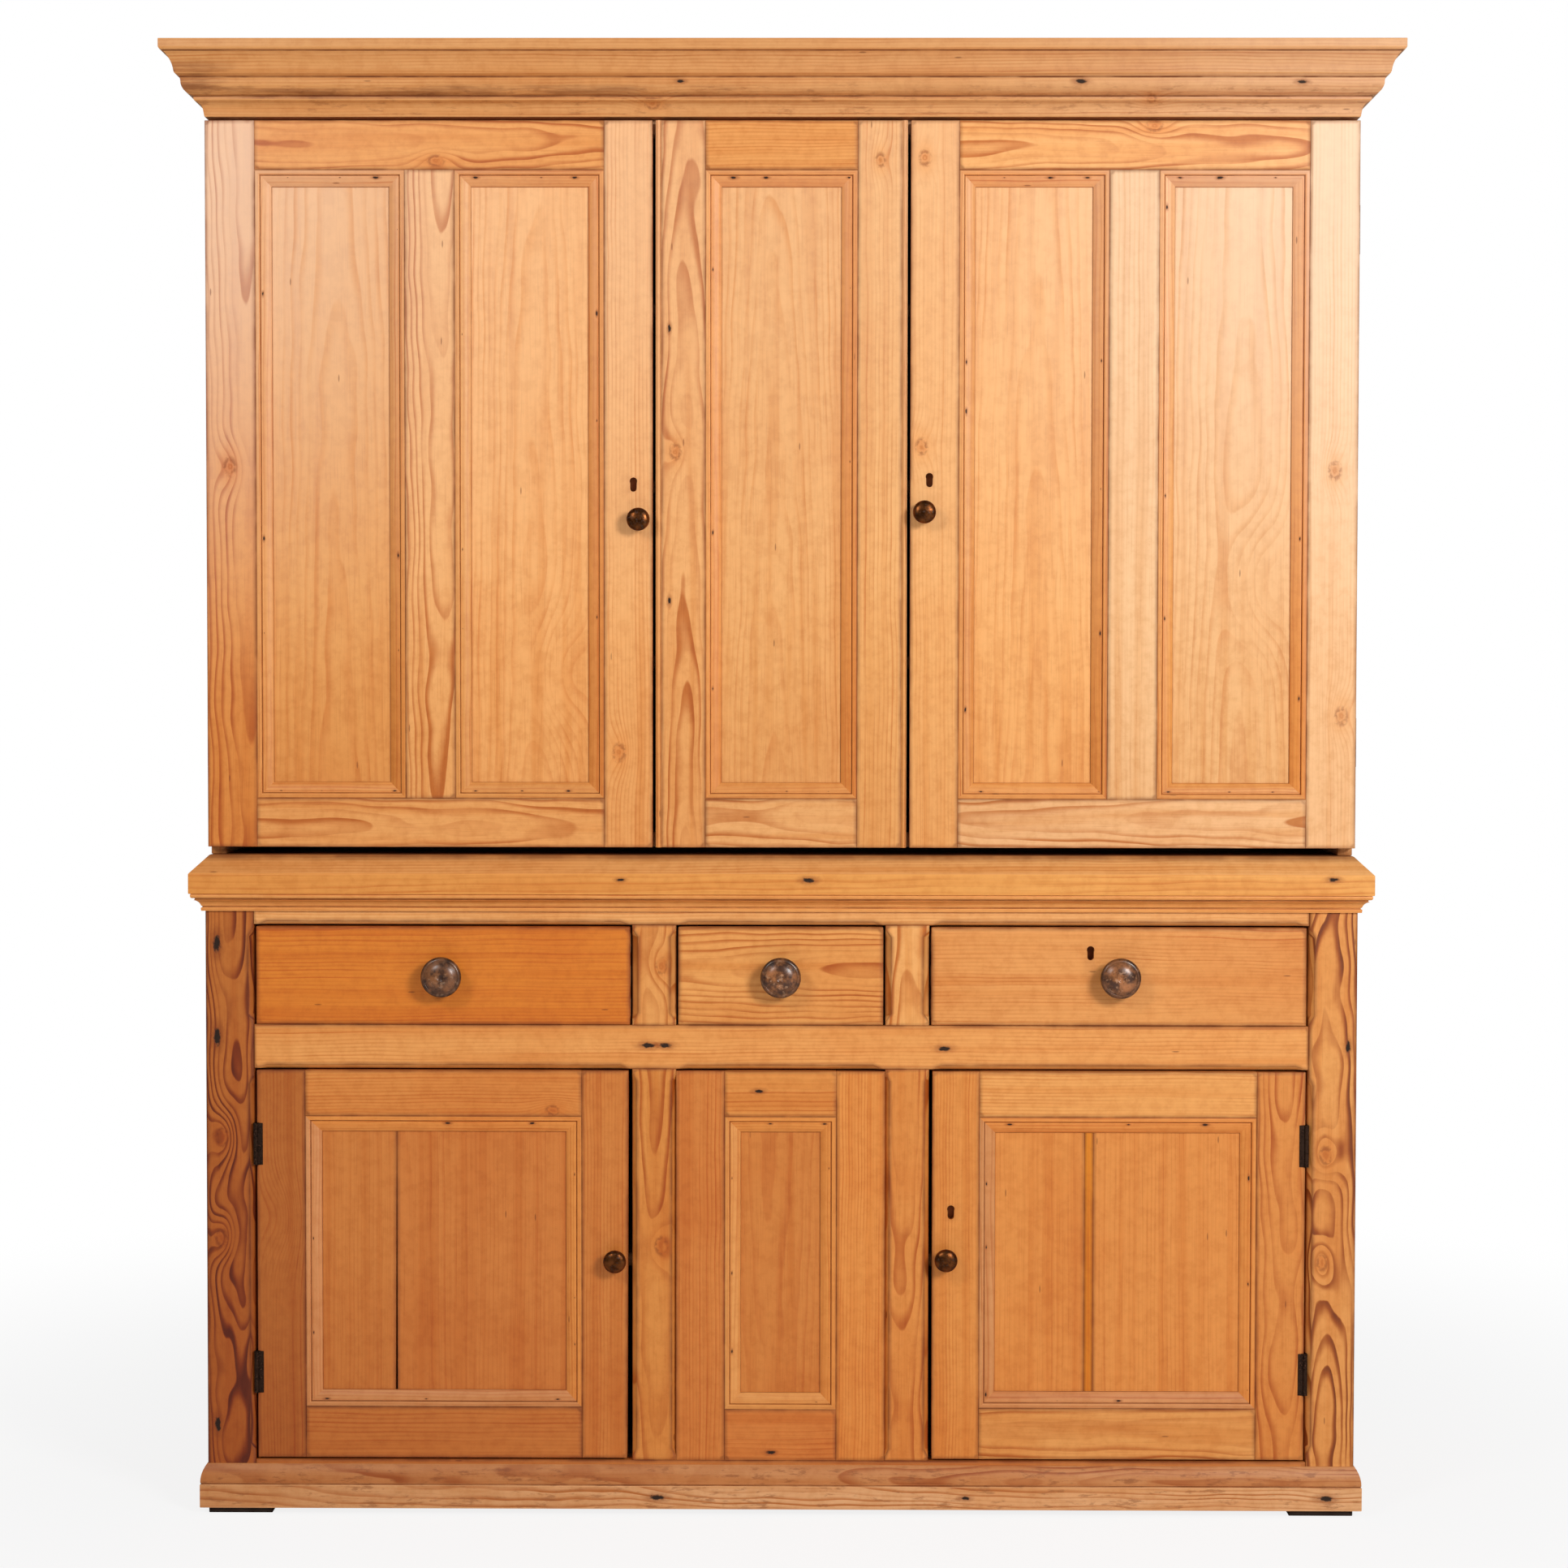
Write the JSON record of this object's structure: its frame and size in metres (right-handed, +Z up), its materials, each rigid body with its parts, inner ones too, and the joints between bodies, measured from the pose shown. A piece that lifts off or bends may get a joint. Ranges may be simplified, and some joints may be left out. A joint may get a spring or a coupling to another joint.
{
  "type": "linen press",
  "caption": "Tall pine linen press: a panelled cupboard with a moulded cornice on a lower case with drawers over panelled doors and a plinth.",
  "frame": {"origin": "on the floor under the middle of the whole press", "axes": "+Z up, the doors and drawers face -Y, +X to the right of a person in front"},
  "size_m": [1.808, 0.596, 2.171],
  "materials": {
    "waxed_pine": "stripped and waxed pine with knots",
    "plain_pine": "bare sawn pine, dusty",
    "dark_pine": "dark stained pine",
    "turned_knob": "mottled dark turned knob, polished",
    "brass": "brass gone dark with age",
    "iron": "dark rusted iron"
  },
  "bodies": {
    "case": {"bed_mouldings": "waxed_pine", "corner_posts": "waxed_pine", "cornice_back_rail": "plain_pine", "cornice_front": "waxed_pine", "cornice_returns": "waxed_pine", "drawer_runners": "plain_pine", "feet": "dark_pine", "front_dividers": "waxed_pine", "front_rails": "waxed_pine", "hinge_case_leaves": "iron", "hinge_pins": "iron", "lower_back_boards": "plain_pine", "lower_bottom_board": "plain_pine", "lower_centre_frame": "waxed_pine", "lower_centre_panel": "waxed_pine", "lower_left_side": "waxed_pine", "lower_right_side": "waxed_pine", "lower_shelf": "plain_pine", "plinth_boards": "waxed_pine", "shelf_bearers": "plain_pine", "upper_back_boards": "plain_pine", "upper_bottom_board": "plain_pine", "upper_centre_frame": "waxed_pine", "upper_centre_panel": "waxed_pine", "upper_left_side": "waxed_pine", "upper_right_side": "waxed_pine", "upper_shelves": "plain_pine", "upper_top_board": "plain_pine", "upper_uprights": "plain_pine", "waist_board": "waxed_pine"},
    "left_drawer": {"left_drawer_box": "plain_pine", "left_drawer_front": "waxed_pine", "left_drawer_knob": "turned_knob"},
    "lower_left_door": {"lower_left_door_frame": "waxed_pine", "lower_left_door_ironwork": "iron", "lower_left_door_panels": "waxed_pine"},
    "lower_left_knob": {"lower_left_knob": "brass"},
    "lower_right_door": {"lower_right_door_frame": "waxed_pine", "lower_right_door_ironwork": "iron", "lower_right_door_panels": "waxed_pine"},
    "lower_right_knob": {"lower_right_knob": "brass"},
    "lower_right_bolt": {"lower_right_lock_bolt": "iron"},
    "middle_drawer": {"middle_drawer_box": "plain_pine", "middle_drawer_front": "waxed_pine", "middle_drawer_knob": "turned_knob"},
    "right_drawer": {"right_drawer_box": "plain_pine", "right_drawer_front": "waxed_pine", "right_drawer_knob": "turned_knob", "right_drawer_lock_case": "iron"},
    "right_drawer_bolt": {"right_drawer_lock_bolt": "iron"},
    "upper_left_door": {"upper_left_door_frame": "waxed_pine", "upper_left_door_ironwork": "iron", "upper_left_door_panels": "waxed_pine"},
    "upper_left_knob": {"upper_left_knob": "brass"},
    "upper_left_bolt": {"upper_left_lock_bolt": "iron"},
    "upper_right_door": {"upper_right_door_frame": "waxed_pine", "upper_right_door_ironwork": "iron", "upper_right_door_panels": "waxed_pine"},
    "upper_right_knob": {"upper_right_knob": "brass"},
    "upper_right_bolt": {"upper_right_lock_bolt": "iron"}
  },
  "joints": [
    {"name": "upper_left_door_hinge", "type": "hinge", "parent": "case", "child": "upper_left_door", "pos_m": [-0.849, -0.219, 1.529], "axis": [0, 0, -1], "range_deg": [0, 115]},
    {"name": "lower_left_door_hinge", "type": "hinge", "parent": "case", "child": "lower_left_door", "pos_m": [-0.7795, -0.2425, 0.3735], "axis": [0, 0, -1], "range_deg": [0, 110]},
    {"name": "upper_right_door_hinge", "type": "hinge", "parent": "case", "child": "upper_right_door", "pos_m": [0.849, -0.219, 1.529], "axis": [0, 0, 1], "range_deg": [0, 115]},
    {"name": "lower_right_door_hinge", "type": "hinge", "parent": "case", "child": "lower_right_door", "pos_m": [0.7795, -0.2425, 0.3735], "axis": [0, 0, 1], "range_deg": [0, 110]},
    {"name": "upper_left_knob_turn", "type": "hinge", "parent": "upper_left_door", "child": "upper_left_knob", "pos_m": [-0.21, -0.242, 1.478], "axis": [0, -1, 0], "range_deg": [0, 90]},
    {"name": "upper_right_knob_turn", "type": "hinge", "parent": "upper_right_door", "child": "upper_right_knob", "pos_m": [0.21, -0.242, 1.489], "axis": [0, 1, 0], "range_deg": [0, 90]},
    {"name": "lower_left_knob_turn", "type": "hinge", "parent": "lower_left_door", "child": "lower_left_knob", "pos_m": [-0.245, -0.242, 0.382], "axis": [0, -1, 0], "range_deg": [0, 90]},
    {"name": "lower_right_knob_turn", "type": "hinge", "parent": "lower_right_door", "child": "lower_right_knob", "pos_m": [0.245, -0.242, 0.385], "axis": [0, 1, 0], "range_deg": [0, 90]},
    {"name": "upper_left_bolt_throw", "type": "slide", "parent": "upper_left_door", "child": "upper_left_bolt", "axis": [1, 0, 0], "range_m": [0, 0.01]},
    {"name": "upper_right_bolt_throw", "type": "slide", "parent": "upper_right_door", "child": "upper_right_bolt", "axis": [-1, 0, 0], "range_m": [0, 0.01]},
    {"name": "lower_right_bolt_throw", "type": "slide", "parent": "lower_right_door", "child": "lower_right_bolt", "axis": [-1, 0, 0], "range_m": [0, 0.012]},
    {"name": "right_drawer_bolt_throw", "type": "slide", "parent": "right_drawer", "child": "right_drawer_bolt", "axis": [0, 0, 1], "range_m": [0, 0.009]},
    {"name": "left_drawer_slide", "type": "slide", "parent": "case", "child": "left_drawer", "axis": [0, -1, 0], "range_m": [0, 0.36]},
    {"name": "middle_drawer_slide", "type": "slide", "parent": "case", "child": "middle_drawer", "axis": [0, -1, 0], "range_m": [0, 0.36]},
    {"name": "right_drawer_slide", "type": "slide", "parent": "case", "child": "right_drawer", "axis": [0, -1, 0], "range_m": [0, 0.36]}
  ]
}
